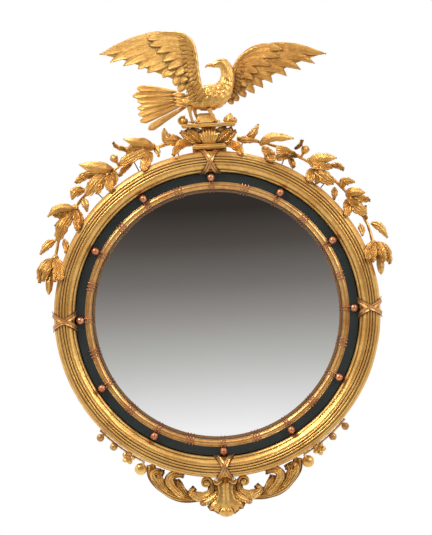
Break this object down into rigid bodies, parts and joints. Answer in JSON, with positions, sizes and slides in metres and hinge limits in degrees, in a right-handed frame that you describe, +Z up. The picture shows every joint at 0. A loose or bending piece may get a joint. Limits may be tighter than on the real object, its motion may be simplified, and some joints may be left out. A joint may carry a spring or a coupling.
{
  "type": "girandole mirror",
  "caption": "Round convex wall mirror in a reeded, gilded frame with a carved spread eagle crest, lily sprays and an acanthus apron, hung on swinging D rings.",
  "frame": {"origin": "on the wall plane, on the axis of the ring", "axes": "+Z up, +Y into the wall, the glass faces -Y, +X to the right as seen from the front"},
  "size_m": [0.7798, 0.0965, 1.0714],
  "materials": {
    "gilt_roll": "water gilding over red bole, burnished, rubbed on the reeds",
    "gilt_slip": "water gilding over red bole, burnished",
    "gilt_on_bole": "water gilding worn back to red-brown bole",
    "ebonised_wood": "ebonised, low sheen",
    "mirror_glass": "silvered convex plate",
    "pine": "bare planed pine",
    "backboard_wood": "bare board, darkened with age",
    "felt": "felt",
    "brass_hanger": "pressed brass, dull",
    "black_iron": "blacked wrought iron",
    "screw_steel": "bright steel",
    "gilt_bird": "water gilding over red bole, toned brown in the cuts",
    "gilt_spray": "gilded composition on wire, toned brown in the cuts",
    "gilt_apron": "water gilding over red bole, toned brown in the cuts",
    "gilt_crest": "water gilding over red bole, toned brown in the cuts"
  },
  "bodies": {
    "mirror": {"apron_berries_left": "gilt_apron", "apron_berries_right": "gilt_apron", "apron_cartouche": "gilt_apron", "apron_iron_strap": "black_iron", "apron_scroll_left": "gilt_apron", "apron_scroll_right": "gilt_apron", "apron_twig_left": "gilt_apron", "apron_twig_right": "gilt_apron", "backboard": "backboard_wood", "backboard_screws": "screw_steel", "ball_pegs": "pine", "bellflower_left": "gilt_spray", "bellflower_right": "gilt_spray", "carcase_ring": "pine", "convex_glass": "mirror_glass", "corbel_leaves_left": "gilt_spray", "corbel_leaves_right": "gilt_spray", "crest_corbel": "gilt_crest", "crest_iron_strap": "black_iron", "crest_ledge": "gilt_crest", "crest_mound": "gilt_crest", "crest_plinth": "gilt_crest", "eagle_body": "gilt_bird", "eagle_legs": "gilt_bird", "eagle_tail": "gilt_bird", "eagle_wing_left": "gilt_bird", "eagle_wing_right": "gilt_bird", "ebonised_band": "ebonised_wood", "gilt_balls": "gilt_on_bole", "gilt_slip": "gilt_slip", "glazing_blocks": "pine", "hanger_screws": "screw_steel", "hanger_strap_left": "brass_hanger", "hanger_strap_right": "brass_hanger", "iron_strap_screws": "screw_steel", "ledge_leaf_tip": "gilt_crest", "ledge_scroll_end": "gilt_crest", "lily_lower_left": "gilt_spray", "lily_lower_right": "gilt_spray", "lily_middle_left": "gilt_spray", "lily_middle_right": "gilt_spray", "lily_upper_left": "gilt_spray", "lily_upper_right": "gilt_spray", "perch_dowel": "black_iron", "rebate_felt": "felt", "reeded_roll": "gilt_roll", "ribbon_crosses": "gilt_on_bole", "slip_ball_ties": "gilt_on_bole", "slip_collars": "gilt_on_bole", "spray_bud_left": "gilt_spray", "spray_bud_right": "gilt_spray", "spray_leaves_left": "gilt_spray", "spray_leaves_right": "gilt_spray", "spray_pins": "black_iron", "spray_stem_left": "gilt_spray", "spray_stem_right": "gilt_spray", "wall_pads": "felt"},
    "ring_left": {"d_ring_left": "brass_hanger"},
    "ring_right": {"d_ring_right": "brass_hanger"}
  },
  "joints": [
    {"name": "ring_left_swing", "type": "hinge", "parent": "mirror", "child": "ring_left", "pos_m": [-0.22769, -0.0046, 0.24569], "axis": [1, 0, 0], "range_deg": [0, 180]},
    {"name": "ring_right_swing", "type": "hinge", "parent": "mirror", "child": "ring_right", "pos_m": [0.22769, -0.0046, 0.24569], "axis": [1, 0, 0], "range_deg": [0, 180]}
  ]
}
